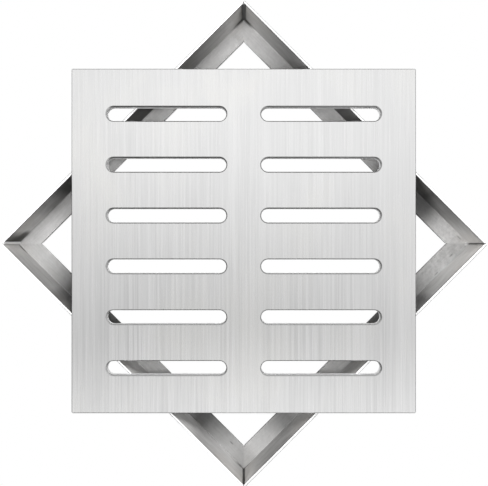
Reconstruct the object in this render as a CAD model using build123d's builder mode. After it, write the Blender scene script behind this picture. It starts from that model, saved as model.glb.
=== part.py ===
"""Floor drain grate: a slotted square cover plate lying on a welded angle frame.

Millimetres, +Z up. The origin is the middle of the frame's underside. The frame stands
turned 45 degrees, so its four corners point along +Y (north), +X (east), -Y (south) and
-X (west). The cover's sides run along X and Y, and it rests on the rim of the frame.
"""

from build123d import *
import os
from math import cos, radians, sin, sqrt

os.makedirs("parts", exist_ok=True)

# cover plate
cover_side = 300.0
cover_thickness = 4.0
cover_corner_radius = 1.3
cover_edge_break = 1.0
cover_underside_break = 0.3
cover_shift = 2.5  # the loose cover lies this far north of the frame's middle

# slots in the cover
slot_columns = 2
slot_rows = 6
slot_length = 104.0  # over the round ends
slot_width = 12.0
slot_column_pitch = 134.4
slot_row_pitch = 44.2

# frame, welded up from four mitred lengths of angle
cover_clearance = 0.4  # between the cover and the walls on each side, when it is let in
angle_thickness = 2.0
ledge_leg = 16.7
frame_height = 22.0
root_radius = 0.8
rim_radius = 0.3
ledge_nose_radius = 0.3
heel_radius = 0.5

# corner joints of the frame
joint_gap = 1.0  # between the mitred ends of two bars
wall_weld_setback = 0.9  # how far the weld lies behind the inner corner of the walls
wall_weld_below_rim = 0.5
ledge_weld_setback = 0.4
# two corners are welded on the inside too: the bead's reach along the wall on its clockwise
# and its anticlockwise side
inner_beads = {"north": (1.6, 1.6), "west": (1.9, 0.5)}

wall_inside = cover_side / 2 + cover_clearance
wall_outside = wall_inside + angle_thickness
ledge_inside = wall_outside - ledge_leg

bar_headings = {"north_east": 45, "north_west": 135, "south_west": 225, "south_east": 315}
corner_headings = {"east": 0, "north": 90, "west": 180, "south": 270}


# The cover: one flat plate with full-radius slots, its sharp edges broken all round.
cover_base = Plane((0, cover_shift, frame_height))
with BuildPart() as cover:
    with BuildSketch(cover_base):
        Rectangle(cover_side, cover_side)
        with GridLocations(slot_column_pitch, slot_row_pitch, slot_columns, slot_rows):
            SlotOverall(slot_length, slot_width, mode=Mode.SUBTRACT)
    extrude(amount=cover_thickness)
    outer_corners = cover.edges().filter_by(Axis.Z).sort_by_distance(cover_base.origin)[-4:]
    fillet(outer_corners, radius=cover_corner_radius)
    chamfer(cover.faces().sort_by(Axis.Z)[-1].edges(), length=cover_edge_break)
    chamfer(cover.faces().sort_by(Axis.Z)[0].edges(), length=cover_underside_break)
cover.part.label = "cover_plate"
export_step(cover.part, "parts/cover_plate.step")


# The frame's sides: an L section standing on its ledge leg, wall outwards, cut to 45 degree
# mitres that leave half the joint gap clear of each diagonal of the frame.
mitre_start = joint_gap / sqrt(2)
mitre_reach = wall_outside + 10
for side, heading in bar_headings.items():
    outward = (cos(radians(heading)), sin(radians(heading)), 0)
    sideways = (sin(radians(heading)), -cos(radians(heading)), 0)
    with BuildPart() as bar:
        with BuildSketch(Plane((0, 0, 0), x_dir=outward, z_dir=sideways)) as section:
            with BuildLine():
                Polyline(
                    (ledge_inside, 0),
                    (wall_outside, 0),
                    (wall_outside, frame_height),
                    (wall_inside, frame_height),
                    (wall_inside, angle_thickness),
                    (ledge_inside, angle_thickness),
                    close=True,
                )
            make_face()
            fillet(section.vertices().sort_by_distance((wall_inside, angle_thickness))[0], radius=root_radius)
            fillet(section.vertices().sort_by_distance((wall_outside, 0))[0], radius=heel_radius)
            fillet(section.vertices().group_by(Axis.Y)[-1], radius=rim_radius)
            fillet(section.vertices().group_by(Axis.X)[0], radius=ledge_nose_radius)
        extrude(amount=mitre_reach, both=True)
        with BuildSketch(Plane.XY.rotated((0, 0, heading))):
            Polygon(
                (mitre_start, 0),
                (mitre_reach, mitre_start - mitre_reach),
                (mitre_reach, mitre_reach - mitre_start),
                align=None,
            )
        extrude(amount=frame_height, mode=Mode.INTERSECT)
    bar.part.label = f"frame_bar_{side}"
    export_step(bar.part, f"parts/frame_bar_{side}.step")


# The corner welds. Each mitre is closed by two runs of weld that fill the joint gap: an upright
# one through the outer part of the walls, which leaves a narrow open seam on the inside unless
# the corner has an inner bead, and a flat one along the ledge, ground flush with it.
half_gap = joint_gap / 2
weld_inside = wall_inside * sqrt(2) + wall_weld_setback
weld_outside = wall_outside * sqrt(2)
nose_weld_start = ledge_inside * sqrt(2) + ledge_weld_setback
inner_corner = wall_inside * sqrt(2)
bead_foot = angle_thickness + root_radius
wall_weld_top = frame_height - wall_weld_below_rim
for corner, heading in corner_headings.items():
    along_diagonal = Plane.XY.rotated((0, 0, heading))

    with BuildPart() as wall_weld:
        with BuildSketch(along_diagonal):
            Polygon(
                (weld_inside, -half_gap),
                (weld_outside - half_gap, -half_gap),
                (weld_outside, 0),
                (weld_outside - half_gap, half_gap),
                (weld_inside, half_gap),
                align=None,
            )
        extrude(amount=wall_weld_top)
        if corner in inner_beads:
            clockwise, anticlockwise = inner_beads[corner]
            with BuildSketch(along_diagonal.offset(bead_foot)):
                Polygon(
                    (inner_corner - clockwise, -clockwise),
                    (inner_corner - half_gap, -half_gap),
                    (weld_inside, -half_gap),
                    (weld_inside, half_gap),
                    (inner_corner - half_gap, half_gap),
                    (inner_corner - anticlockwise, anticlockwise),
                    align=None,
                )
            extrude(amount=wall_weld_top - bead_foot)
    wall_weld.part.label = f"wall_weld_{corner}"
    export_step(wall_weld.part, f"parts/wall_weld_{corner}.step")

    with BuildPart() as ledge_weld:
        with BuildSketch(along_diagonal):
            with Locations(((nose_weld_start + weld_inside) / 2, 0)):
                Rectangle(weld_inside - nose_weld_start, joint_gap)
        extrude(amount=angle_thickness)
    ledge_weld.part.label = f"ledge_weld_{corner}"
    export_step(ledge_weld.part, f"parts/ledge_weld_{corner}.step")
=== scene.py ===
import math
import random

import bmesh
import bpy
from mathutils import Matrix, Vector


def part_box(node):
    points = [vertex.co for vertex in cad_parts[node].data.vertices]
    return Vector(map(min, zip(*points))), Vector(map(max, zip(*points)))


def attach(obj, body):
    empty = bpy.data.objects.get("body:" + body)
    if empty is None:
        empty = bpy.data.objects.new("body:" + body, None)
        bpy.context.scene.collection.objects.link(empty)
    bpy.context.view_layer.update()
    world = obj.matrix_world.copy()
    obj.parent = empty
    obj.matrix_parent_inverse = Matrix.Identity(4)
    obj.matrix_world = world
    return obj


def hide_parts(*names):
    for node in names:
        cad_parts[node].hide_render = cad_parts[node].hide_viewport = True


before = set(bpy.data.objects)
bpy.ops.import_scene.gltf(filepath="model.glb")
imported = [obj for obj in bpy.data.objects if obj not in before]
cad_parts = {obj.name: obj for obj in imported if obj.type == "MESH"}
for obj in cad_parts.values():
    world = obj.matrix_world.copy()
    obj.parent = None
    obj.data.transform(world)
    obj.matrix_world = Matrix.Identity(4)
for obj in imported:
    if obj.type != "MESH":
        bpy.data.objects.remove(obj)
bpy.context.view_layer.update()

random.seed(7)
MM = 0.001
TO_MM = 1000

# ---------------------------------------------------------------- sizes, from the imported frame
cover_low, cover_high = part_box("cover_plate")
cover_mid = (cover_low + cover_high) / 2
cover_half = (cover_high.x - cover_low.x) / 2
rim_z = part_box("frame_bar_north_east")[1].z
frame_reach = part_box("wall_weld_east")[1].x
wall_outside = frame_reach / math.sqrt(2)
angle_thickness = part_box("ledge_weld_east")[1].z
wall_inside = wall_outside - angle_thickness
ledge_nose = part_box("ledge_weld_east")[0].x
LEDGE_WELD_SHORT = 0.4 * MM  # how far the ledge's weld stops short of the ledge's inner corner
ledge_inside = (ledge_nose - LEDGE_WELD_SHORT) / math.sqrt(2)
joint_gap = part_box("wall_weld_east")[1].y * 2
weld_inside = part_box("wall_weld_east")[0].x
mitre_start = joint_gap / math.sqrt(2)

SLOT_LENGTH, SLOT_WIDTH = 104 * MM, 12 * MM
SLOT_COLUMN_PITCH, SLOT_ROW_PITCH = 134.4 * MM, 44.2 * MM
COVER_EDGE_BREAK, COVER_UNDERSIDE_BREAK = 1.0 * MM, 0.3 * MM
COVER_CORNER_RADIUS = 1.3 * MM
COVER_REACH = 150 * MM
SHARP_ANGLE = math.radians(40)
GRAIN_UV_SCALE = 10


# ---------------------------------------------------------------- mesh helpers
def new_piece(name, bm, body, replaced, material, uv):
    """Turns a bmesh into a piece that rides on a body and stands for its CAD nodes."""
    bmesh.ops.recalc_face_normals(bm, faces=bm.faces)
    mesh = bpy.data.meshes.new(name)
    layer = bm.loops.layers.uv.new("grain")
    for face in bm.faces:
        for loop in face.loops:
            loop[layer].uv = uv(loop.vert.co, face.normal)
    bm.to_mesh(mesh)
    bm.free()
    piece = bpy.data.objects.new(name, mesh)
    bpy.context.scene.collection.objects.link(piece)
    mesh.materials.append(material)
    mesh.polygons.foreach_set("use_smooth", [True] * len(mesh.polygons))
    mesh.set_sharp_from_angle(angle=SHARP_ANGLE)
    even = piece.modifiers.new("even_normals", "WEIGHTED_NORMAL")
    even.weight = 100
    even.keep_sharp = True
    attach(piece, body)
    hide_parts(*replaced)


def ring(bm, points):
    """A closed row of vertices, one of the sections that bridge() joins."""
    return [bm.verts.new(p) for p in points]


def bridge(bm, a, b):
    """A band of four-sided faces between two rings."""
    n = len(a)
    for i in range(n):
        j = (i + 1) % n
        bm.faces.new((a[i], a[j], b[j], b[i]))


def broken_edge(width, arris=0.15 * MM, steps=3):
    """Points (in, down) of a 45 degree edge break with softened arrises, from the flat to the side."""
    pts = []
    shift = arris * math.tan(math.radians(22.5))
    for start, centre_in, centre_down in ((0, width + shift, arris), (45, arris, width + shift)):
        for k in range(steps + 1):
            a = math.radians(start + 45 * k / steps)
            pts.append((centre_in - arris * math.sin(a), centre_down - arris * math.cos(a)))
    return pts


def square_loop(cx, cy, half, radius, z, corner_steps=6):
    """Points round a square with rounded corners, at one height."""
    pts = []
    for q, (sx, sy) in enumerate(((1, 1), (-1, 1), (-1, -1), (1, -1))):
        for k in range(corner_steps + 1):
            a = math.radians(90 * q + 90 * k / corner_steps)
            pts.append((
                cx + sx * (half - radius) + radius * math.cos(a),
                cy + sy * (half - radius) + radius * math.sin(a),
                z,
            ))
    return pts


def stadium_loop(cx, cy, straight, radius, z, end_steps=20):
    """Points round a slot with half-round ends, at one height."""
    pts = []
    for side in (0, 1):
        sx = 1 if side == 0 else -1
        for k in range(end_steps + 1):
            a = math.radians(-90 + 180 * side + 180 * k / end_steps)
            pts.append((cx + sx * straight + radius * math.cos(a), cy + radius * math.sin(a), z))
    return pts


# ---------------------------------------------------------------- materials
def nodes_of(name):
    """A new material and its emptied node tree."""
    m = bpy.data.materials.new(name)
    m.use_nodes = True
    nt = m.node_tree
    nt.nodes.clear()
    return m, nt


class Web:
    """A short way to write a node tree."""

    def __init__(self, nt):
        self.nt = nt

    def node(self, kind, **values):
        n = self.nt.nodes.new(kind)
        for key, value in values.items():
            setattr(n, key, value)
        return n

    def plug(self, a, b):
        self.nt.links.new(a, b)

    def set(self, socket, value):
        if isinstance(value, bpy.types.NodeSocket):
            self.plug(value, socket)
        else:
            socket.default_value = value

    def math(self, op, a, b=0.0, c=None, clamp=False):
        n = self.node("ShaderNodeMath", operation=op, use_clamp=clamp)
        self.set(n.inputs[0], a)
        self.set(n.inputs[1], b)
        if c is not None:
            self.set(n.inputs[2], c)
        return n.outputs[0]

    def noise(self, vector, scale=1.0, detail=3.0, rough=0.55, distortion=0.0):
        n = self.node("ShaderNodeTexNoise", noise_dimensions="3D")
        self.plug(vector, n.inputs["Vector"])
        n.inputs["Scale"].default_value = scale
        n.inputs["Detail"].default_value = detail
        n.inputs["Roughness"].default_value = rough
        n.inputs["Distortion"].default_value = distortion
        return n.outputs["Fac"]

    def remap(self, value, a, b, c, d, smooth=False):
        n = self.node("ShaderNodeMapRange", interpolation_type="SMOOTHSTEP" if smooth else "LINEAR")
        n.clamp = True
        self.plug(value, n.inputs["Value"])
        for key, v in (("From Min", a), ("From Max", b), ("To Min", c), ("To Max", d)):
            n.inputs[key].default_value = v
        return n.outputs["Result"]

    def mapping(self, vector, scale=(1, 1, 1), rotation=(0, 0, 0), location=(0, 0, 0)):
        n = self.node("ShaderNodeMapping")
        self.plug(vector, n.inputs["Vector"])
        n.inputs["Scale"].default_value = scale
        n.inputs["Rotation"].default_value = rotation
        n.inputs["Location"].default_value = location
        return n.outputs["Vector"]

    def curve(self, value, low, high, stops, interpolation="LINEAR", ceiling=1.0):
        """The value, taken between low and high, read off a curve through (value, result) stops."""
        ramp = self.node("ShaderNodeValToRGB")
        ramp.color_ramp.interpolation = interpolation
        while len(ramp.color_ramp.elements) > 1:
            ramp.color_ramp.elements.remove(ramp.color_ramp.elements[0])
        first = ramp.color_ramp.elements[0]
        first.position, first.color = (stops[0][0] - low) / (high - low), grey(stops[0][1] / ceiling)
        for at, result in stops[1:]:
            ramp.color_ramp.elements.new((at - low) / (high - low)).color = grey(result / ceiling)
        self.plug(self.remap(value, low, high, 0.0, 1.0), ramp.inputs["Fac"])
        return self.math("MULTIPLY", ramp.outputs["Color"], ceiling)

    def blob(self, a, b, centre, reach, wobble):
        """1 in the middle of an oval patch of the plane (a, b), falling smoothly to 0 at its edge."""
        da = self.math("DIVIDE", self.math("SUBTRACT", a, centre[0]), reach[0])
        db = self.math("DIVIDE", self.math("SUBTRACT", b, centre[1]), reach[1])
        squares = self.math("ADD", self.math("MULTIPLY", da, da), self.math("MULTIPLY", db, db))
        far = self.math("SQRT", squares)
        return self.remap(self.math("ADD", far, wobble), 0.2, 1.0, 1.0, 0.0, smooth=True)

    def mix(self, factor, a, b, blend="MIX"):
        n = self.node("ShaderNodeMix", data_type="RGBA", blend_type=blend)
        self.set(n.inputs["Factor"], factor)
        self.set(n.inputs["A"], a)
        self.set(n.inputs["B"], b)
        return n.outputs["Result"]


def grey(r, g=None, b=None):
    return (r, r if g is None else g, r if b is None else b, 1.0)


# the streaks' noise between these two values goes from the dark to the light tone
STREAK_RANGE = (0.4, 0.6)
BUMP_DEPTH = 0.06 * MM


def steel(name, light, dark, streak_mm, streak_long_mm, roughness, anisotropic, bump, extra,
          grain_turn=0.0, metallic=1.0, tint=None, specular=0.5):
    """Brushed stainless steel. The grain runs along the object's Y axis turned by grain_turn, in streaks
    about streak_mm wide and streak_long_mm long. The function extra changes the colour and roughness by
    place."""
    m, nt = nodes_of(name)
    w = Web(nt)
    out = w.node("ShaderNodeOutputMaterial")
    p = w.node("ShaderNodeBsdfPrincipled")
    w.plug(p.outputs[0], out.inputs["Surface"])
    p.inputs["Metallic"].default_value = metallic
    p.inputs["Anisotropic"].default_value = anisotropic
    p.inputs["Specular IOR Level"].default_value = specular
    tangent = w.node("ShaderNodeTangent", direction_type="UV_MAP", uv_map="grain")
    w.plug(tangent.outputs[0], p.inputs["Tangent"])

    place = w.node("ShaderNodeTexCoord").outputs["Object"]
    turned = w.mapping(place, rotation=(0, 0, -grain_turn))
    across = 1 / (streak_mm * MM)
    along = 1 / (streak_long_mm * MM)
    medium = w.noise(w.mapping(turned, scale=(across, along, across)), detail=2.0, rough=0.6)
    fine = w.noise(w.mapping(turned, scale=(across * 2.6, along * 2.5, across * 2.6), location=(3, 7, 1)),
                   detail=2.0, rough=0.6)
    broad = w.noise(w.mapping(turned, scale=(across / 7, along / 3, across / 7), location=(9, 2, 4)),
                    detail=1.0)
    cloud = w.noise(w.mapping(turned, scale=(14, 9, 14), location=(1, 5, 2)),
                    detail=4.0, rough=0.6, distortion=0.4)

    streaks = w.math("ADD", w.math("MULTIPLY", medium, 0.65), w.math("MULTIPLY", fine, 0.2))
    streaks = w.math("ADD", streaks, w.math("MULTIPLY", broad, 0.15))
    level = w.remap(streaks, *STREAK_RANGE, 0.0, 1.0)
    rough = w.remap(w.math("ADD", w.math("MULTIPLY", fine, 0.6), w.math("MULTIPLY", cloud, 0.4)),
                    0.35, 0.65, roughness[1], roughness[0])
    colour = w.mix(level, dark, light)
    if tint is not None:
        colour = w.mix(w.remap(cloud, 0.45, 0.72, 0.0, 0.6, smooth=True), colour, tint)
    colour, rough = extra(w, p, place, turned, level, cloud, colour, rough)
    w.plug(colour, p.inputs["Base Color"])
    w.plug(rough, p.inputs["Roughness"])
    b = w.node("ShaderNodeBump")
    b.inputs["Strength"].default_value = bump
    b.inputs["Distance"].default_value = BUMP_DEPTH
    height = w.math("ADD", w.math("MULTIPLY", fine, 0.6), w.math("MULTIPLY", medium, 0.4))
    w.plug(height, b.inputs["Height"])
    w.plug(b.outputs[0], p.inputs["Normal"])
    return m


def axes(w, vector):
    """The vector's X, Y and Z as three values."""
    parts = w.node("ShaderNodeSeparateXYZ")
    w.plug(vector, parts.inputs[0])
    return parts.outputs["X"], parts.outputs["Y"], parts.outputs["Z"]


# ---------------------------------------------------------------- the cover's steel
COVER_LIGHT, COVER_DARK = grey(0.62), grey(0.48)
# how bold the streaks are by Y across the cover
STREAK_STRENGTH = [(-0.145, 0.55), (-0.12, 0.62), (-0.085, 0.92), (-0.04, 0.64), (0.0, 0.5), (0.06, 0.36),
                   (0.14, 0.26)]
# painted shade on the broken edge along each side of the cover, by X or by Y, darkest along the lower left
EDGE_PAINTED_SHADE = {
    "top": [(-0.15, 0.6), (-0.03, 0.46), (0.02, 0.56), (0.15, 0.52)],
    "right": [(-0.15, 0.62), (0.15, 0.62)],
    "left": [(-0.15, 0.26), (-0.05, 0.22), (0.02, 0.24), (0.06, 0.4), (0.09, 0.62), (0.15, 0.8)],
    "bottom": [(-0.15, 0.06), (-0.04, 0.08), (-0.015, 0.4), (0.05, 0.5), (0.15, 0.66)],
}
# painted light and shade: how bright the metal of the cover's lower half is by X, as a share of the tones
# above
PAINTED_LIGHT_ACROSS = [(-0.15, 1.03), (-0.12, 0.97), (-0.05, 0.96), (0.03, 0.97), (0.08, 0.99), (0.12, 1.0),
               (0.15, 1.09)]
# how bold the streaks are by X
STREAK_ACROSS = [(-0.15, 0.45), (-0.125, 0.6), (-0.1, 1.0), (0.0, 0.95), (0.09, 0.85), (0.13, 0.7),
                 (0.15, 0.6)]
COVER_STAIN = grey(0.57, 0.567, 0.553)
# the broken edges round the slots are painted darker as shade
SLOT_EDGE_PAINTED_SHADE, COVER_SIDE_TONE = grey(0.42), grey(0.88)


def edge_painted_shade(w, x, y):
    """The painted shade of the broken edges: one tone round the slots, and uneven along each of the four
    sides.
    """
    tone = SLOT_EDGE_PAINTED_SHADE
    inner, outer = COVER_EDGE_BREAK + 0.4 * MM, COVER_EDGE_BREAK + 0.2 * MM
    for along, across, edge, turn, stops in (
        (x, y, cover_high.y, 1, EDGE_PAINTED_SHADE["top"]),
        (y, x, cover_high.x, 1, EDGE_PAINTED_SHADE["right"]),
        (y, x, cover_low.x, -1, EDGE_PAINTED_SHADE["left"]),
        (x, y, cover_low.y, -1, EDGE_PAINTED_SHADE["bottom"]),
    ):
        near = w.remap(across, edge - turn * inner, edge - turn * outer, 0.0, 1.0)
        tone = w.mix(near, tone, w.curve(along, -COVER_REACH, COVER_REACH, stops))
    return tone


def cover_zones(w, p, place, turned, level, cloud, colour, rough):
    """The streaks are bolder in the lower half of the cover, whose brightness by X is painted light and
    shade, and its cut sides are paler and duller than its top, which ends in broken edges painted darker as
    shade."""
    x, y, z = axes(w, place)
    bolder = w.math("MULTIPLY", w.curve(y, -COVER_REACH, COVER_REACH, STREAK_STRENGTH),
                    w.curve(x, -COVER_REACH, COVER_REACH, STREAK_ACROSS))
    swing = w.math("MULTIPLY", w.math("SUBTRACT", level, 0.5), bolder)
    colour = w.mix(w.math("ADD", swing, 0.5, clamp=True), COVER_DARK, COVER_LIGHT)
    colour = w.mix(w.remap(cloud, 0.45, 0.72, 0.0, 0.5, smooth=True), colour, COVER_STAIN)
    # painted light and shade by X on the lower half
    upper = w.remap(y, -0.12, 0.06, 0.0, 1.0, smooth=True)
    painted_light_gain = w.math("MULTIPLY", w.curve(x, -COVER_REACH, COVER_REACH, PAINTED_LIGHT_ACROSS, ceiling=2.0),
                  w.math("SUBTRACT", 1.0, upper))
    painted_light_gain = w.math("ADD", painted_light_gain, upper)
    colour = w.mix(1.0, colour, painted_light_gain, "MULTIPLY")
    # the broken edges take their painted shade
    on_break = w.remap(z, cover_high.z - 0.05 * MM, cover_high.z - 0.2 * MM, 0.0, 1.0)
    colour = w.mix(on_break, colour, edge_painted_shade(w, x, y))
    side_top = cover_high.z - COVER_EDGE_BREAK
    on_side = w.remap(z, side_top - 0.1 * MM, side_top - 0.3 * MM, 0.0, 1.0)
    colour = w.mix(on_side, colour, COVER_SIDE_TONE)
    w.plug(w.remap(on_side, 0.0, 1.0, 1.0, 0.25), p.inputs["Metallic"])
    rough = w.mix(on_side, rough, grey(0.55))
    return colour, rough


cover_steel = steel("cover_brushed_steel", light=COVER_LIGHT, dark=COVER_DARK, streak_mm=1.6,
                    streak_long_mm=160, roughness=(0.24, 0.36), anisotropic=0.8, bump=0.10, extra=cover_zones)

# ---------------------------------------------------------------- the frame's steel
# the wall's tones are a darker copy of the ledge's steel: painted shade for the wall's less lit side
SHADED_WALL_LIGHT, SHADED_WALL_DARK = grey(0.34, 0.337, 0.333), grey(0.275, 0.272, 0.268)
LEDGE_LIGHT, LEDGE_DARK = grey(0.53, 0.527, 0.523), grey(0.485, 0.481, 0.477)
# the rim's near white is ground steel and painted highlight, and the rim's edge colour is painted shade
GROUND_BRIGHT_AND_HIGHLIGHT, RIM_EDGE_PAINTED_SHADE = grey(0.97), grey(0.25)
MILL_LIGHT, MILL_DARK = grey(0.52, 0.516, 0.51), grey(0.46, 0.456, 0.45)
# the near-black paints the dark joints, and also painted shade under the rim and along the wall's foot by the
# corners; the root colour is painted shade in the crease at the wall's foot
DARK_SEAM_AND_PAINTED_SHADE, ROOT_PAINTED_SHADE = grey(0.05, 0.049, 0.046), grey(0.2)
# the wall's tint belongs to the same darker copy, painted shade
STEEL_TINT, SHADED_WALL_TINT = grey(0.49, 0.477, 0.456), grey(0.285, 0.27, 0.252)
BAR_REACH_MM = 155

# How bright the steel of the wall and of the ledge is along each bar, as painted light and shade with painted
# shadow beside the cover's edges: (mm along the bar from its middle, share of the tones above). The bar's +
# end is the next corner anticlockwise. The shares in WALL_PAINTED_LIGHT_AND_SHADE and
# LEDGE_PAINTED_LIGHT_AND_SHADE were fitted by a separate scratch program to the photograph's brightness along
# each bar.
WALL_PAINTED_LIGHT_AND_SHADE = {
    "north_east": [
        (-150, 1.81), (-142, 1.73), (-134, 1.55), (-126, 1.23), (-118, 0.93), (-110, 0.75), (-102, 0.74),
        (-95, 0.58), (-88, 0.35), (-80, 0.56), (-25, 0.56), (25, 0.37), (80, 0.81), (88, 0.68),
        (95, 0.7), (102, 0.75), (110, 0.86), (118, 0.98), (126, 1.14), (134, 1.25), (142, 1.28),
        (150, 1.24),
    ],
    "north_west": [
        (-150, 1.19), (-142, 1.79), (-134, 1.85), (-126, 1.58), (-118, 1.33), (-110, 1.16), (-102, 0.98),
        (-95, 0.83), (-88, 0.69), (-80, 0.62), (-25, 0.25), (25, 0.48), (80, 0.26), (88, 0.67),
        (95, 1.05), (102, 1.08), (110, 1.44), (118, 1.79), (126, 1.85), (134, 1.85), (142, 0.57),
        (150, 0.25),
    ],
    "south_west": [
        (-150, 1.59), (-142, 1.37), (-134, 1.13), (-126, 1.09), (-118, 1.0), (-110, 0.97), (-102, 0.95),
        (-95, 1.0), (-88, 0.64), (-80, 0.5), (-25, 1.29), (25, 1.85), (80, 1.85), (88, 1.5),
        (95, 1.26), (102, 1.32), (110, 1.43), (118, 1.5), (126, 1.63), (134, 1.63), (142, 1.48),
        (150, 1.48),
    ],
    "south_east": [
        (-150, 1.7), (-142, 1.47), (-134, 1.07), (-126, 0.91), (-118, 0.81), (-110, 0.81), (-102, 0.84),
        (-95, 0.86), (-88, 1.08), (-80, 1.19), (-25, 1.85), (25, 0.76), (80, 0.54), (88, 1.13),
        (95, 1.23), (102, 1.32), (110, 1.49), (118, 1.55), (126, 1.67), (134, 1.75), (142, 1.81),
        (150, 1.85),
    ],
}
LEDGE_PAINTED_LIGHT_AND_SHADE = {
    "north_east": [
        (-140, 1.29), (-132, 1.46), (-124, 1.51), (-116, 1.52), (-108, 1.08), (-100, 0.49), (-93, 0.39),
        (-86, 0.43), (-30, 1.7), (30, 1.7), (86, 0.77), (93, 0.87), (100, 0.95), (108, 1.0),
        (116, 1.09), (124, 1.15), (132, 1.46), (140, 1.69),
    ],
    "north_west": [
        (-140, 1.7), (-132, 1.25), (-124, 0.96), (-116, 0.88), (-108, 0.85), (-100, 0.82), (-93, 0.84),
        (-86, 0.82), (-30, 1.63), (30, 1.7), (86, 1.0), (93, 0.92), (100, 0.91), (108, 1.04),
        (116, 1.14), (124, 1.19), (132, 1.44), (140, 1.61),
    ],
    "south_west": [
        (-140, 1.39), (-132, 1.34), (-124, 1.26), (-116, 1.08), (-108, 0.94), (-100, 0.75), (-93, 0.54),
        (-86, 0.28), (-30, 0.46), (30, 1.7), (86, 0.27), (93, 0.32), (100, 0.58), (108, 0.75),
        (116, 0.83), (124, 0.96), (132, 1.01), (140, 0.96),
    ],
    "south_east": [
        (-140, 1.13), (-132, 1.23), (-124, 1.07), (-116, 0.97), (-108, 0.91), (-100, 0.73), (-93, 0.54),
        (-86, 0.46), (-30, 1.7), (30, 0.59), (86, 0.51), (93, 0.66), (100, 0.8), (108, 0.8),
        (116, 0.9), (124, 0.87), (132, 1.03), (140, 1.06),
    ],
}
# dark patches, those along the wall's foot beside the corners being painted shade: (mm along the bar, mm from
# the wall's foot: + over the ledge, - up the wall, half sizes of both, depth)
DARK_PATCHES_AND_PAINTED_SHADE = {
    "north_east": [(147, -1, 13, 3.2, 0.9), (-140, 2.2, 4.5, 1.1, 0.4), (-146, 8, 2.5, 1.0, 0.25)],
    "north_west": [(147, -8, 11, 11, 0.9), (139, -5, 8, 7, 0.85), (-147, -1, 13, 3.2, 0.9)],
    "south_west": [(125, 9, 3.2, 1.0, 0.55), (146, -1, 7, 2.0, 0.7), (-144, -1.5, 9, 1.8, 0.9)],
    "south_east": [(131, 3.9, 3.6, 1.0, 0.5), (109, 1.6, 4.0, 0.9, 0.35), (119, 9, 3.0, 1.0, 0.22),
                   (100, 11, 3.0, 1.2, 0.25), (-146, -1, 7, 1.4, 0.5)],
}
# pale polished spots: the same five numbers
POLISH = {
    "north_east": [(-148.5, 1.4, 1.9, 1.6, 0.7)],
    "north_west": [],
    "south_west": [],
    "south_east": [(148.5, 1.4, 1.9, 1.6, 0.7)],
}
# the joint at each bar's - end and + end, as it shows on the inside of the wall: (half width in mm, depth of
# the dark)
SEAMS = {
    "north_east": ((0.45, 0.6), (1.7, 0.75)),
    "north_west": ((1.7, 0.75), (0.3, 0.3)),
    "south_west": ((0.7, 0.45), (0.8, 0.85)),
    "south_east": ((0.8, 0.85), (0.3, 0.5)),
}
# how strong the mottle on the ledge is along each bar
MOTTLE = {
    "north_east": [(-150, 0.8), (-125, 0.75), (-95, 0.4), (80, 0.3), (150, 0.35)],
    "north_west": [(-150, 0.35), (-80, 0.3), (80, 0.3), (150, 0.3)],
    "south_west": [(-150, 0.3), (80, 0.3), (150, 0.4)],
    "south_east": [(-150, 0.35), (-80, 0.3), (80, 0.45), (105, 0.95), (130, 1.0), (150, 0.8)],
}
# how dark the painted shade on the outer edge of each bar's ground rim is along the bar
RIM_EDGE_SHADE_ALONG = {
    "north_east": [(-90, 0.1), (-70, 0.9), (130, 0.9)],
    "north_west": [(-130, 0.35), (-80, 0.9), (70, 0.9), (90, 0.15)],
    "south_west": [(-90, 0.1), (-70, 0.8), (70, 0.8), (90, 0.1)],
    "south_east": [(-130, 0.9), (130, 0.95)],
}


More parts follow.
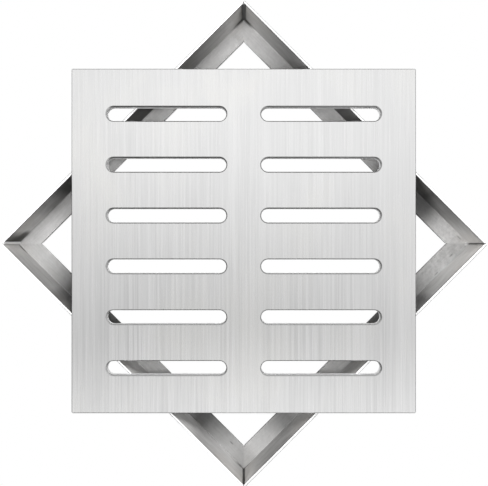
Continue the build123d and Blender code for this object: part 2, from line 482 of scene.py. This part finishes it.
def bar_zones(side):
    """The bar's look by place: pale ledge, a wall painted darker as shade, a ground rim painted near white as
    a highlight with painted shade on its outer edge, dark joints, painted shade under the rim and in the
    creases, and a few dark patches.
    """

    def tone_along(w, along_mm, stops, ceiling=1.0):
        return w.curve(along_mm, -BAR_REACH_MM, BAR_REACH_MM, stops, ceiling=ceiling)

    def zones(w, p, place, turned, level, cloud, colour, rough):
        out, along, height = axes(w, turned)
        out_mm, along_mm = w.math("MULTIPLY", out, TO_MM), w.math("MULTIPLY", along, TO_MM)
        outside_mm = wall_outside * TO_MM
        # the wall takes the darker copy of the steel, painted shade
        wall = w.mix(level, SHADED_WALL_DARK, SHADED_WALL_LIGHT)
        wall = w.mix(w.remap(cloud, 0.45, 0.7, 0.0, 0.6, smooth=True), wall, SHADED_WALL_TINT)
        # painted light and shade along the bar: on the wall here and on the ledge below, with painted shadow
        # beside the cover's edges
        wall = w.mix(1.0, wall, tone_along(w, along_mm, WALL_PAINTED_LIGHT_AND_SHADE[side], 2.0), "MULTIPLY")
        colour = w.mix(1.0, colour, tone_along(w, along_mm, LEDGE_PAINTED_LIGHT_AND_SHADE[side], 2.0), "MULTIPLY")

        # handling marks: a fine mottle, strongest near the east corner
        mottle = w.noise(w.mapping(place, scale=(330, 260, 330), location=(2, 8, 5)), detail=5.0, rough=0.65)
        amount = tone_along(w, along_mm, MOTTLE[side])
        spread = w.math("MULTIPLY_ADD", w.math("SUBTRACT", mottle, 0.5), amount, 1.0)
        colour = w.mix(1.0, colour, spread, "MULTIPLY")

        on_wall = w.remap(height, angle_thickness + 0.2 * MM, angle_thickness + 1.0 * MM, 0.0, 1.0)
        colour = w.mix(on_wall, colour, wall)
        rough = w.math("ADD", rough, w.math("MULTIPLY", on_wall, -0.16))

        # a band of painted shade on the wall right under its rim
        shade_under_rim = w.remap(height, rim_z - 2.2 * MM, rim_z - 0.5 * MM, 0.0, 0.35)
        colour = w.mix(w.math("MULTIPLY", shade_under_rim, on_wall), colour, DARK_SEAM_AND_PAINTED_SHADE)

        # distance over the section from the wall's foot, + over the ledge and - up the wall; the root between
        # the two is painted a little darker, as shade in the crease
        from_foot = w.math("SUBTRACT", w.math("SUBTRACT", wall_inside * TO_MM, out_mm),
                           w.math("MULTIPLY", w.math("SUBTRACT", height, angle_thickness), TO_MM))
        root = w.remap(w.math("ABSOLUTE", from_foot), 0.0, 1.6, 0.2, 0.0, smooth=True)
        # painted shade in the crease at the wall's foot
        colour = w.mix(root, colour, ROOT_PAINTED_SHADE)

        # dark patches; those along the wall's foot beside the corners are painted shade
        for t, s, half_t, half_s, depth in DARK_PATCHES_AND_PAINTED_SHADE[side]:
            ragged = w.math("MULTIPLY_ADD", cloud, 0.8, -0.4)
            spot = w.blob(along_mm, from_foot, (t, s), (half_t, half_s), ragged)
            colour = w.mix(w.math("MULTIPLY", spot, depth), colour, DARK_SEAM_AND_PAINTED_SHADE)
        for t, s, half_t, half_s, depth in POLISH[side]:
            spot = w.blob(along_mm, from_foot, (t, s), (half_t, half_s), 0.0)
            colour = w.mix(w.math("MULTIPLY", spot, depth), colour, GROUND_BRIGHT_AND_HIGHLIGHT)

        # the joints: the distance from the corner plane, for each end of the bar
        for sign, (half_width, depth) in zip((-1, 1), SEAMS[side]):
            to_mitre = w.math("SUBTRACT", out_mm, w.math("MULTIPLY", along_mm, sign))
            reach = half_width * 1.4
            dark = w.remap(to_mitre, reach, reach + 1.1, depth, 0.0, smooth=True)
            colour = w.mix(w.math("MULTIPLY", dark, on_wall), colour, DARK_SEAM_AND_PAINTED_SHADE)

        # the outer face and the underside are plain mill steel
        outer_face = w.remap(out_mm, outside_mm - 0.5, outside_mm - 0.3, 0.0, 1.0)
        underside = w.remap(height, 0.3 * MM, 0.1 * MM, 0.0, 1.0)
        plain = w.mix(level, MILL_DARK, MILL_LIGHT)
        colour = w.mix(w.math("MAXIMUM", outer_face, underside), colour, plain)

        # the rim's top is ground bright and painted near white as a highlight, with painted shade on its
        # outer edge
        on_rim = w.remap(height, rim_z - 0.25 * MM, rim_z - 0.1 * MM, 0.0, 1.0)
        # painted shade on the rim's outer edge
        edge = w.remap(out_mm, outside_mm - 0.75, outside_mm - 0.6, 0.0, 1.0)
        edge = w.math("MULTIPLY", edge, tone_along(w, along_mm, RIM_EDGE_SHADE_ALONG[side]))
        colour = w.mix(on_rim, colour, w.mix(edge, GROUND_BRIGHT_AND_HIGHLIGHT, RIM_EDGE_PAINTED_SHADE))
        return colour, rough

    return zones


bar_headings = {"north_east": 45, "north_west": 135, "south_west": 225, "south_east": 315}
corner_headings = {"east": 0, "north": 90, "west": 180, "south": 270}
bar_steel = {
    side: steel(f"frame_steel_{side}", light=LEDGE_LIGHT, dark=LEDGE_DARK, grain_turn=math.radians(heading),
                streak_mm=1.2, streak_long_mm=16, roughness=(0.58, 0.7), metallic=0.12, anisotropic=0.2,
                bump=0.10, tint=STEEL_TINT, specular=0.2, extra=bar_zones(side))
    for side, heading in bar_headings.items()
}
# the bars that meet at each corner: (the bar that ends there, the bar that starts there)
CORNER_BARS = {
    "east": ("south_east", "north_east"), "north": ("north_east", "north_west"),
    "west": ("north_west", "south_west"), "south": ("south_west", "south_east"),
}


def ledge_weld_painted_light(corner):
    """The flat weld is ground with the ledges, and carries the same painted light as the ends of the two bars
    beside it.
    """
    ends, starts = CORNER_BARS[corner]
    share = (LEDGE_PAINTED_LIGHT_AND_SHADE[ends][-1][1] + LEDGE_PAINTED_LIGHT_AND_SHADE[starts][0][1]) / 2

    def zones(w, p, place, turned, level, cloud, colour, rough):
        return w.mix(1.0, colour, grey(share), "MULTIPLY"), rough

    return zones


ledge_weld_steel = {
    corner: steel(f"ledge_weld_steel_{corner}", light=LEDGE_LIGHT, dark=LEDGE_DARK, streak_mm=0.8,
                  streak_long_mm=3, roughness=(0.58, 0.7), metallic=0.12, anisotropic=0.0, bump=0.1,
                  specular=0.2, tint=STEEL_TINT, extra=ledge_weld_painted_light(corner))
    for corner in corner_headings
}
# the inner sides of the upright welds: dark with heat and dirt, and bare metal in the west corner
WALL_WELD_INSIDE = {"east": grey(0.10), "north": grey(0.10), "west": grey(0.80), "south": grey(0.06)}


def weld_inside_tone(corner):
    """The upright weld has its own tone inside, bare steel outside and a ground top, painted near white as a
    highlight.
    """

    def zones(w, p, place, turned, level, cloud, colour, rough):
        out = axes(w, turned)[0]
        inside = w.remap(out, weld_inside + 0.05 * MM, weld_inside + 0.3 * MM, 1.0, 0.0)
        colour = w.mix(inside, colour, WALL_WELD_INSIDE[corner])
        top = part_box(f"wall_weld_{corner}")[1].z
        ground = w.math("MULTIPLY", w.remap(axes(w, place)[2], top - 0.3 * MM, top - 0.1 * MM, 0.0, 1.0),
                        w.math("SUBTRACT", 1.0, inside))
        return w.mix(ground, colour, GROUND_BRIGHT_AND_HIGHLIGHT), rough

    return zones


wall_weld_steel = {
    corner: steel(f"wall_weld_steel_{corner}", light=grey(0.42, 0.415, 0.408), dark=grey(0.33, 0.325, 0.318),
                  grain_turn=math.radians(heading), streak_mm=0.6, streak_long_mm=3, roughness=(0.45, 0.6),
                  metallic=0.3, anisotropic=0.0, bump=0.2, extra=weld_inside_tone(corner))
    for corner, heading in corner_headings.items()
}


# ---------------------------------------------------------------- the cover
def build_cover():
    """The slotted cover: each outline's edges and sides, then the flat of the top and the underside."""
    bm = bmesh.new()
    cx, cy = cover_mid.x, cover_mid.y
    top, bottom = cover_high.z, cover_low.z
    straight = (SLOT_LENGTH - SLOT_WIDTH) / 2

    def skin(loop_at):
        """Rings from the flat of the top, over the edge, down the side and round to the underside."""
        rings = [ring(bm, loop_at(i, top - d)) for i, d in broken_edge(COVER_EDGE_BREAK)]
        under = reversed(broken_edge(COVER_UNDERSIDE_BREAK, arris=0.08 * MM))
        rings += [ring(bm, loop_at(i, bottom + d)) for i, d in under]
        for a, b in zip(rings, rings[1:]):
            bridge(bm, a, b)
        return rings[0], rings[-1]

    def side_at(inset, z):
        return square_loop(cx, cy, cover_half - inset, max(COVER_CORNER_RADIUS - inset, 0.2 * MM), z)

    loops = [skin(side_at)]
    for column in (-0.5, 0.5):
        for row in range(6):
            sx = cx + column * SLOT_COLUMN_PITCH
            sy = cy + (2.5 - row) * SLOT_ROW_PITCH
            loops.append(skin(
                lambda inset, z, sx=sx, sy=sy: stadium_loop(sx, sy, straight, SLOT_WIDTH / 2 + inset, z)))
    for level in zip(*loops):
        edges = [bm.edges.get((l[i], l[(i + 1) % len(l)])) for l in level for i in range(len(l))]
        bmesh.ops.triangle_fill(bm, use_beauty=True, edges=edges)

    def uv(co, n):
        if abs(n.z) > 0.3:
            return co.x * GRAIN_UV_SCALE, co.y * GRAIN_UV_SCALE
        return (co.x + co.y) * GRAIN_UV_SCALE, co.z * GRAIN_UV_SCALE

    new_piece("cover_plate_brushed", bm, "cover", ["cover_plate"], cover_steel, uv)


build_cover()


# ---------------------------------------------------------------- the frame's bars
def bar_profile():
    """The L section as (u, z) points, anticlockwise, with its edges rounded."""
    rim, nose, heel, root = 0.35 * MM, 0.3 * MM, 0.5 * MM, 0.8 * MM
    t = angle_thickness

    def arc(cu, cz, r, start, end, steps=4):
        return [
            (cu + r * math.cos(math.radians(start + (end - start) * k / steps)),
             cz + r * math.sin(math.radians(start + (end - start) * k / steps)))
            for k in range(steps + 1)
        ]

    pts = []
    pts += arc(ledge_inside + nose, nose, nose, 180, 270)
    pts += arc(wall_outside - heel, heel, heel, 270, 360)
    pts += arc(wall_outside - rim, rim_z - rim, rim, 0, 90)
    pts += arc(wall_inside + rim, rim_z - rim, rim, 90, 180)
    pts += arc(wall_inside - root, t + root, root, 360, 270)
    pts += arc(ledge_inside + nose, t - nose, nose, 90, 180)
    return pts


BAR_STATIONS = 24


def build_bar(side, heading):
    """One bar of the frame: the L section run between two mitred ends."""
    bm = bmesh.new()
    turn = Matrix.Rotation(math.radians(heading), 3, "Z")
    profile = bar_profile()
    loops = []
    for s in range(BAR_STATIONS + 1):
        f = -1 + 2 * s / BAR_STATIONS
        loops.append(ring(bm, [turn @ Vector((u, f * (u - mitre_start), z)) for u, z in profile]))
    for a, b in zip(loops, loops[1:]):
        bridge(bm, a, b)
    bm.faces.new(loops[0])
    bm.faces.new(loops[-1])
    back = turn.inverted()

    def uv(co, n):
        p = back @ co
        return (p.x + p.z) * GRAIN_UV_SCALE, p.y * GRAIN_UV_SCALE

    new_piece(f"frame_bar_{side}_brushed", bm, "frame", [f"frame_bar_{side}"],
              bar_steel[side], uv)


for side, heading in bar_headings.items():
    build_bar(side, heading)


# ---------------------------------------------------------------- the corner welds
# the inner side of each upright weld, as points (across the corner, out of the corner towards the opening)
INNER_BEAD = {
    "east": [(-0.4 * MM, 0.0), (0.0, 0.0), (0.4 * MM, 0.0)],
    "north": [(-1.6 * MM, 1.65 * MM), (0.0, 1.3 * MM), (1.6 * MM, 1.65 * MM)],
    "west": [(-1.9 * MM, 1.95 * MM), (-0.9 * MM, 1.5 * MM), (0.45 * MM, 0.5 * MM)],
    "south": [(-0.45 * MM, 0.0), (0.0, 0.0), (0.45 * MM, 0.0)],
}
# the outer bead's half width, and how many levels each weld's skin has
BEAD_REACH = 1.1 * MM
WALL_WELD_LEVELS, LEDGE_WELD_LEVELS = 60, 30
RIPPLE_LONG, RIPPLE_HIGH, RIPPLE_ROUGH = 1.6 * MM, 0.06 * MM, 0.02 * MM


def build_wall_weld(corner, heading):
    """The upright weld: it fills the joint, and stands as a low rippled bead over the outer corner and, in
    two corners, inside."""
    bm = bmesh.new()
    turn = Matrix.Rotation(math.radians(heading), 3, "Z")
    half = joint_gap / 2
    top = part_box(f"wall_weld_{corner}")[1].z
    inner_corner = wall_inside * math.sqrt(2)
    reach = BEAD_REACH
    rings = []
    for s in range(WALL_WELD_LEVELS + 1):
        z = top * s / WALL_WELD_LEVELS
        ripple = RIPPLE_HIGH * abs(math.sin(math.pi * z / RIPPLE_LONG)) + RIPPLE_ROUGH * random.random()
        proud = ripple if 0 < s < WALL_WELD_LEVELS else 0.0
        if z > angle_thickness:
            inner = [(inner_corner - out - proud, across) for across, out in INNER_BEAD[corner]]
        else:
            inner = [(weld_inside, -half * 0.9), (weld_inside, 0.0), (weld_inside, half * 0.9)]
        section = [(frame_reach - half, -half), (frame_reach - reach, -reach)]
        section += [
            (frame_reach - reach * 0.55 + proud, -reach * 0.62 - proud),
            (frame_reach - 0.22 * MM + proud, -0.25 * MM),
            (frame_reach - 0.12 * MM + proud, 0.0),
            (frame_reach - 0.22 * MM + proud, 0.25 * MM),
            (frame_reach - reach * 0.55 + proud, reach * 0.62 + proud),
        ]
        section += [(frame_reach - reach, reach), (frame_reach - half, half), (weld_inside, half)]
        section += reversed(inner)
        section.append((weld_inside, -half))
        rings.append(ring(bm, [turn @ Vector((d, x, z)) for d, x in section]))
    for a, b in zip(rings, rings[1:]):
        bridge(bm, a, b)
    bm.faces.new(rings[0])
    bm.faces.new(rings[-1])
    back = turn.inverted()

    def uv(co, n):
        return (back @ co).y * GRAIN_UV_SCALE, co.z * GRAIN_UV_SCALE

    new_piece(f"wall_weld_{corner}_bead", bm, "frame", [f"wall_weld_{corner}"],
              wall_weld_steel[corner], uv)


def build_ledge_weld(corner, heading):
    """The flat weld along the ledge's mitre, ground flush."""
    bm = bmesh.new()
    turn = Matrix.Rotation(math.radians(heading), 3, "Z")
    half = joint_gap / 2
    rings = []
    for s in range(LEDGE_WELD_LEVELS + 1):
        d = ledge_nose + (weld_inside - ledge_nose) * s / LEDGE_WELD_LEVELS
        wander = 0.04 * MM * math.sin(s * 1.7)
        section = [(-half, 0), (half, 0), (half, angle_thickness), (wander, angle_thickness + 0.012 * MM),
                   (-half, angle_thickness)]
        rings.append(ring(bm, [turn @ Vector((d, x, z)) for x, z in section]))
    for a, b in zip(rings, rings[1:]):
        bridge(bm, a, b)
    bm.faces.new(rings[0])
    bm.faces.new(rings[-1])
    back = turn.inverted()

    def uv(co, n):
        p = back @ co
        return p.y * GRAIN_UV_SCALE, p.x * GRAIN_UV_SCALE

    new_piece(f"ledge_weld_{corner}_ground", bm, "frame", [f"ledge_weld_{corner}"],
              ledge_weld_steel[corner], uv)


for corner, heading in corner_headings.items():
    build_wall_weld(corner, heading)
    build_ledge_weld(corner, heading)


# ---------------------------------------------------------------- floor, light and camera
FLOOR_HALF, FLOOR_DROP = 4.0, 0.3 * MM


def build_floor():
    """A plain floor, white as the camera sees it and mid grey as it lights the object."""
    bm = bmesh.new()
    bmesh.ops.create_grid(bm, x_segments=8, y_segments=8, size=FLOOR_HALF)
    bmesh.ops.translate(bm, verts=bm.verts, vec=(0, 0, -FLOOR_DROP))
    mesh = bpy.data.meshes.new("floor")
    bm.to_mesh(mesh)
    bm.free()
    floor = bpy.data.objects.new("floor", mesh)
    bpy.context.scene.collection.objects.link(floor)
    m, nt = nodes_of("pale_floor")
    w = Web(nt)
    out = w.node("ShaderNodeOutputMaterial")
    p = w.node("ShaderNodeBsdfPrincipled")
    p.inputs["Base Color"].default_value = grey(0.18)
    p.inputs["Roughness"].default_value = 0.8
    p.inputs["Specular IOR Level"].default_value = 0.1
    glow = w.node("ShaderNodeEmission")
    glow.inputs["Color"].default_value = grey(1.0)
    glow.inputs["Strength"].default_value = 1.0
    seen = w.node("ShaderNodeMixShader")
    w.plug(w.node("ShaderNodeLightPath").outputs["Is Camera Ray"], seen.inputs[0])
    w.plug(p.outputs[0], seen.inputs[1])
    w.plug(glow.outputs[0], seen.inputs[2])
    w.plug(seen.outputs[0], out.inputs["Surface"])
    mesh.materials.append(m)


build_floor()


# the light of the studio: overhead by how far a direction leans to +Y, and low round the sides by how far
# it leans to the dark lower left (1) or the lit upper right (-1)
OVERHEAD = [(-0.62, 1.69), (-0.5, 1.56), (-0.42, 1.40), (-0.34, 1.16), (-0.27, 1.00), (-0.2, 1.07),
            (-0.12, 1.20), (0.0, 1.26), (0.12, 1.39), (0.25, 1.54), (0.4, 1.60), (0.6, 1.59)]
SIDES = [(-1.0, 1.0), (-0.4, 0.9), (0.1, 0.8), (0.35, 0.5), (0.6, 0.25), (0.85, 0.12), (1.0, 0.10)]


def build_world():
    """The studio's light as the brushed metal reflects it; the camera itself sees plain white."""
    world = bpy.data.worlds.new("studio")
    world.use_nodes = True
    nt = world.node_tree
    nt.nodes.clear()
    w = Web(nt)
    out = w.node("ShaderNodeOutputWorld")
    bg = w.node("ShaderNodeBackground")
    direction = w.node("ShaderNodeTexCoord").outputs["Generated"]
    dx, dy, dz = axes(w, direction)

    overhead = w.curve(dy, -1.0, 1.0, OVERHEAD, "B_SPLINE", 2.0)
    away = w.math("MULTIPLY", w.math("ADD", dx, dy), -math.sqrt(0.5))
    sides = w.curve(away, -1.0, 1.0, SIDES, "B_SPLINE", 2.0)
    low = w.remap(dz, 0.50, 0.72, 0.0, 1.0, smooth=True)
    w.plug(w.mix(low, sides, overhead), bg.inputs["Color"])
    bg.inputs["Strength"].default_value = 1.0
    backdrop = w.node("ShaderNodeBackground")
    backdrop.inputs["Color"].default_value = grey(1.0)
    seen = w.node("ShaderNodeMixShader")
    w.plug(w.node("ShaderNodeLightPath").outputs["Is Camera Ray"], seen.inputs[0])
    w.plug(bg.outputs[0], seen.inputs[1])
    w.plug(backdrop.outputs[0], seen.inputs[2])
    w.plug(seen.outputs[0], out.inputs["Surface"])
    world.cycles_visibility.diffuse = False
    bpy.context.scene.world = world


build_world()


# soft lamps round the object: (where it stands, anticlockwise from +X, degrees; watts)
RING = [(0, 4.5), (60, 10.75), (120, 4.9), (180, 2.95), (210, 7.9)]
RING_DISTANCE, RING_ELEVATION, RING_SIZE = 1.2, math.radians(35), 0.5
# a weak lamp over the middle, which lights the frame through the slots
FILL_HEIGHT, FILL_WATTS, FILL_SIZE = 0.31, 0.25, 0.12


def soft_lamp(name, location, aim, watts, size):
    """A lamp for the matt surfaces only, so that its own shape doesn't show in the brushed cover."""
    data = bpy.data.lights.new(name, "AREA")
    data.shape = "DISK"
    data.size = size
    data.energy = watts
    lamp = bpy.data.objects.new(name, data)
    lamp.location = location
    lamp.rotation_euler = aim.to_track_quat("Z", "Y").to_euler()
    lamp.visible_glossy = False
    lamp.visible_camera = False
    bpy.context.scene.collection.objects.link(lamp)


def build_lamps():
    e = RING_ELEVATION
    for i, (azimuth, watts) in enumerate(RING):
        a = math.radians(azimuth)
        toward = Vector((math.cos(a) * math.cos(e), math.sin(a) * math.cos(e), math.sin(e)))
        soft_lamp(f"ring_{i}", toward * RING_DISTANCE, toward, watts, RING_SIZE)
    soft_lamp("fill_overhead", Vector((0, 0, FILL_HEIGHT)), Vector((0, 0, 1)), FILL_WATTS, FILL_SIZE)


build_lamps()

scene = bpy.context.scene
scene.view_settings.view_transform = "Standard"

# the camera stands over the object's middle, near enough to see the inner sides of the frame's walls
CAMERA_LENS_MM, CAMERA_HEIGHT, CAMERA_X, CAMERA_Y = 22.52, 0.265, 0.00022, 0.00075
camera_data = bpy.data.cameras.new("camera")
camera_data.lens = CAMERA_LENS_MM
camera_data.sensor_width = 36.0
camera_data.clip_start = 0.01
camera = bpy.data.objects.new("camera", camera_data)
camera.location = (CAMERA_X, CAMERA_Y, cover_high.z + CAMERA_HEIGHT)
scene.collection.objects.link(camera)
scene.camera = camera
